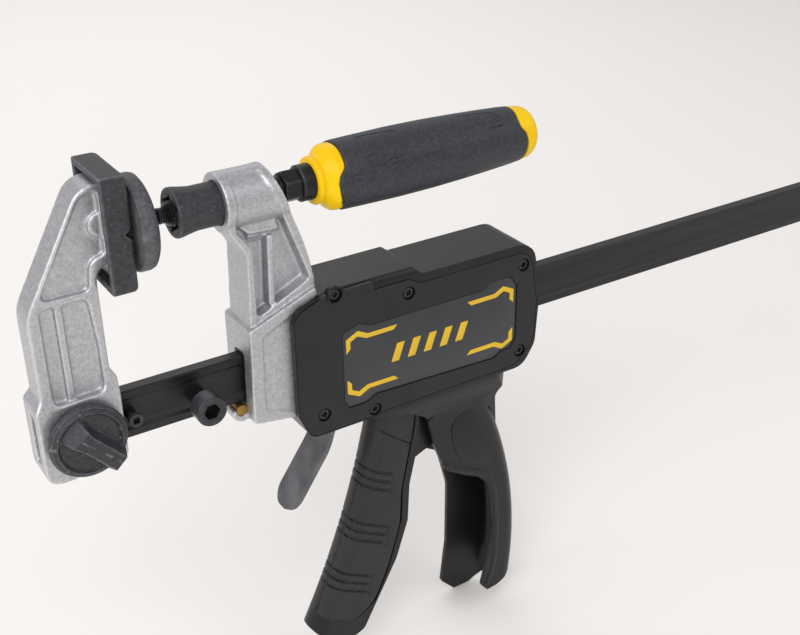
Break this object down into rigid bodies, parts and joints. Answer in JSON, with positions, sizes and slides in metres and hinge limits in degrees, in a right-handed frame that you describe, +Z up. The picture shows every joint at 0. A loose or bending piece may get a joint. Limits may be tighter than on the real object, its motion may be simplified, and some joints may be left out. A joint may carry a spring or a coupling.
{
  "type": "quick release bar clamp",
  "caption": "Pistol grip bar clamp with cast jaws, a trigger drive that closes the moving jaw along a steel bar, and a screw spindle with a swivel pad.",
  "frame": {"origin": "on the spindle axis, in the plane of the fixed pad's clamping face", "axes": "+X along the bar from the fixed jaw to the bar's free end, +Z up away from the bar, -Y the side with the cover, its screws and the release knob"},
  "size_m": [0.6227, 0.0513, 0.3686],
  "materials": {
    "cast_aluminium": "satin as cast",
    "black_steel": "satin black oxide",
    "bright_steel": "brushed",
    "spring_steel": "drawn wire",
    "brass": "machined",
    "black_plastic": "fine moulded texture",
    "pad_plastic": "moulded",
    "soft_grip": "soft matt",
    "yellow_plastic": "satin"
  },
  "bodies": {
    "bar_body": {"bar": "black_steel", "bar_stop_bolt": "black_steel", "jaw_locating_pin": "black_steel", "bar_end_pin": "black_steel", "fixed_jaw": "cast_aluminium", "fixed_pad": "pad_plastic"},
    "knob_body": {"release_knob": "black_plastic", "lock_shaft": "bright_steel", "lock_shaft_clip": "spring_steel"},
    "jaw_body": {"moving_jaw": "cast_aluminium", "thread_bush": "bright_steel", "nose_sleeve": "pad_plastic", "guide_pin": "brass", "jaw_wear_pads": "bright_steel", "housing": "black_plastic", "side_cover": "black_plastic", "cover_screws": "black_steel", "trigger_pivot": "bright_steel", "lever_pivot": "bright_steel", "drive_spring": "spring_steel", "lever_spring": "spring_steel"},
    "screw_carrier": {"ball_cup": "bright_steel"},
    "spindle_body": {"spindle": "black_steel", "handle_core": "yellow_plastic", "handle_grip": "soft_grip", "handle_end_cap": "yellow_plastic"},
    "pad_body": {"swivel_pad": "pad_plastic"},
    "trigger_body": {"trigger_core": "black_plastic", "trigger_grip": "soft_grip"},
    "plates_body": {"drive_plates": "bright_steel"},
    "lever_body": {"release_lever": "black_steel"}
  },
  "joints": [
    {"name": "jaw_slide", "type": "slide", "parent": "bar_body", "child": "jaw_body", "axis": [1, 0, 0], "range_m": [0, 0.3]},
    {"name": "knob_turn", "type": "hinge", "parent": "bar_body", "child": "knob_body", "pos_m": [-0.036, 0, -0.10435], "axis": [0, 1, 0], "range_deg": [0, 90]},
    {"name": "spindle_feed", "type": "slide", "parent": "jaw_body", "child": "screw_carrier", "axis": [1, 0, 0], "range_m": [-0.0011, 0.0091]},
    {"name": "spindle_turn", "type": "hinge", "parent": "screw_carrier", "child": "spindle_body", "pos_m": [0.013, 0, 0], "axis": [1, 0, 0], "range_deg": [-120, 1080]},
    {"name": "pad_tilt", "type": "hinge", "parent": "screw_carrier", "child": "pad_body", "pos_m": [0.013, 0, 0], "axis": [0, 1, 0], "range_deg": [-3, 3]},
    {"name": "trigger_squeeze", "type": "hinge", "parent": "jaw_body", "child": "trigger_body", "pos_m": [0.1385, 0, -0.0751], "axis": [0, -1, 0], "range_deg": [0, 20], "stiffness_Nm_per_rad": 1.5, "springref_deg": -11.46},
    {"name": "drive_feed", "type": "slide", "parent": "jaw_body", "child": "plates_body", "axis": [1, 0, 0], "range_m": [0, 0.0106], "deforming": ["drive_spring"]},
    {"name": "lever_pull", "type": "hinge", "parent": "jaw_body", "child": "lever_body", "pos_m": [0.1051, 0, -0.0776], "axis": [0, -1, 0], "range_deg": [0, 6], "stiffness_Nm_per_rad": 2, "springref_deg": -4.58, "deforming": ["lever_spring"]}
  ],
  "couplings": [
    {"joint": "spindle_feed", "follows": "spindle_turn", "m_per_rad": 0.00047746},
    {"joint": "drive_feed", "follows": "trigger_squeeze", "m_per_rad": 0.03}
  ]
}
